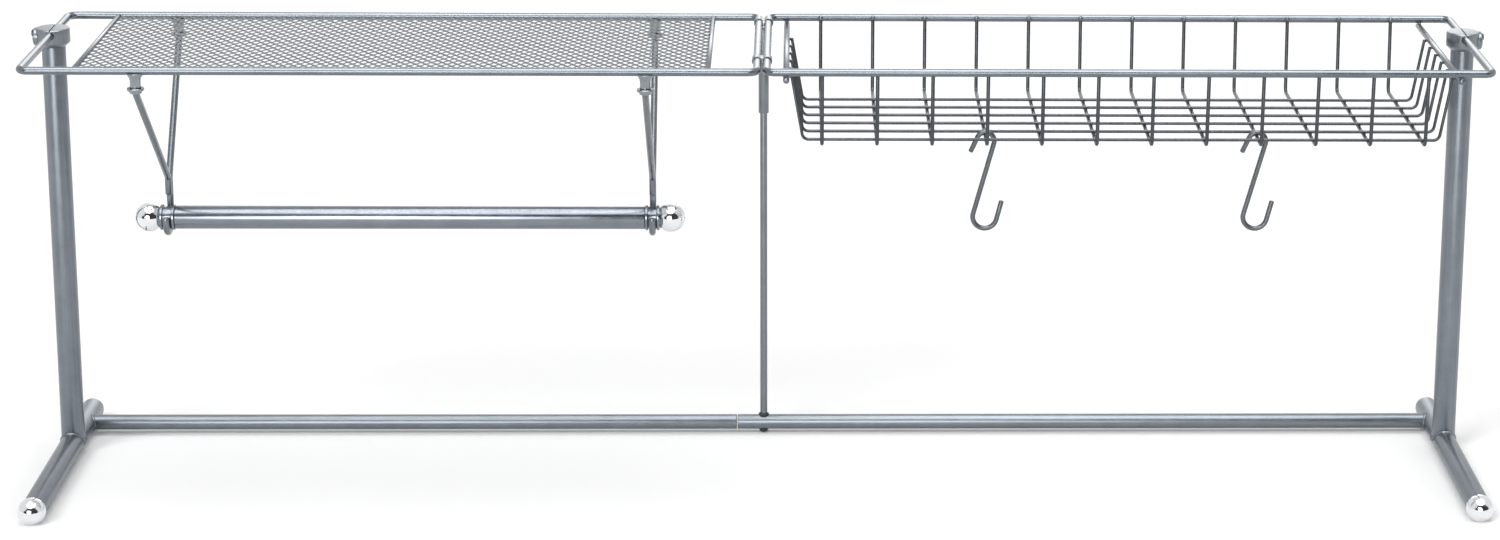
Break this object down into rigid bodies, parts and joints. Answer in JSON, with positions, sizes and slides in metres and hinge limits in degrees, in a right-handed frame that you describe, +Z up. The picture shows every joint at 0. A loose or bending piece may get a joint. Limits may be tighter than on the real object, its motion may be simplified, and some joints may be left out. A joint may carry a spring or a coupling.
{
  "type": "over sink dish rack",
  "caption": "Slim steel dish rack that bridges a sink on T-shaped tube legs, with a mesh shelf, a wire basket, a paper-towel bar and swinging S-hooks.",
  "frame": {"origin": "on the worktop, under the middle of the rack's box", "axes": "+X to the right as seen from the front, towards the basket; +Y to the back, away from the user; +Z up"},
  "size_m": [1.1684, 0.2664, 0.3585],
  "materials": {
    "silver_paint": "satin silver-grey paint on steel tube and wire",
    "dark_wire": "satin darker grey paint on thin wire",
    "chrome": "mirror-bright plate",
    "dark_steel": "dark oxide screw",
    "black_rubber": "matt black moulded rubber"
  },
  "bodies": {
    "rack": {"foot_tube_left": "silver_paint", "foot_tube_right": "silver_paint", "foot_ball_left": "chrome", "foot_ball_right": "chrome", "upright_left": "silver_paint", "upright_right": "silver_paint", "top_cap_left": "silver_paint", "top_cap_right": "silver_paint", "cap_screw_left": "dark_steel", "cap_screw_right": "dark_steel", "rail_left": "silver_paint", "rail_right": "silver_paint", "rail_joiner": "silver_paint", "rod_end_cap": "black_rubber", "rod_grommet": "black_rubber", "support_rod": "silver_paint", "support_socket": "silver_paint", "frame_clip_front": "silver_paint", "frame_clip_rear": "silver_paint", "shelf_frame": "silver_paint", "shelf_border_left": "silver_paint", "shelf_border_right": "silver_paint", "mesh_panel": "silver_paint", "basket_frame": "silver_paint", "basket_end_bar_left": "silver_paint", "basket_end_bar_right": "silver_paint", "basket_cross_wire_01": "dark_wire", "basket_cross_wire_02": "dark_wire", "basket_cross_wire_03": "dark_wire", "basket_cross_wire_04": "dark_wire", "basket_cross_wire_05": "dark_wire", "basket_cross_wire_06": "dark_wire", "basket_cross_wire_07": "dark_wire", "basket_cross_wire_08": "dark_wire", "basket_cross_wire_09": "dark_wire", "basket_cross_wire_10": "dark_wire", "basket_cross_wire_11": "dark_wire", "basket_cross_wire_12": "dark_wire", "basket_long_wire_1": "dark_wire", "basket_long_wire_2": "dark_wire", "basket_long_wire_3": "dark_wire", "basket_long_wire_4": "dark_wire", "basket_long_wire_5": "dark_wire", "basket_long_wire_6": "dark_wire", "hanger_clamp_front_left": "silver_paint", "hanger_clamp_front_right": "silver_paint", "hanger_clamp_back_left": "silver_paint", "hanger_clamp_back_right": "silver_paint", "hanger_strut_left": "silver_paint", "hanger_strut_right": "silver_paint", "hanger_leg_left": "silver_paint", "hanger_leg_right": "silver_paint"},
    "towel_roller": {"towel_bar": "silver_paint", "bar_collar_left": "silver_paint", "bar_collar_right": "silver_paint", "bar_ball_left": "chrome", "bar_ball_right": "chrome"},
    "s_hook_left_body": {"s_hook_left": "dark_wire"},
    "s_hook_right_body": {"s_hook_right": "dark_wire"}
  },
  "joints": [
    {"name": "towel_bar_spin", "type": "hinge", "parent": "rack", "child": "towel_roller", "pos_m": [-0.2842, 0.02575, 0.2058], "axis": [1, 0, 0], "continuous": true},
    {"name": "s_hook_left_swing", "type": "hinge", "parent": "rack", "child": "s_hook_left_body", "pos_m": [0.17536, -0.05328, 0.294], "axis": [0, 1, 0], "range_deg": [-60, 60]},
    {"name": "s_hook_right_swing", "type": "hinge", "parent": "rack", "child": "s_hook_right_body", "pos_m": [0.38964, -0.05328, 0.294], "axis": [0, 1, 0], "range_deg": [-60, 60]}
  ]
}
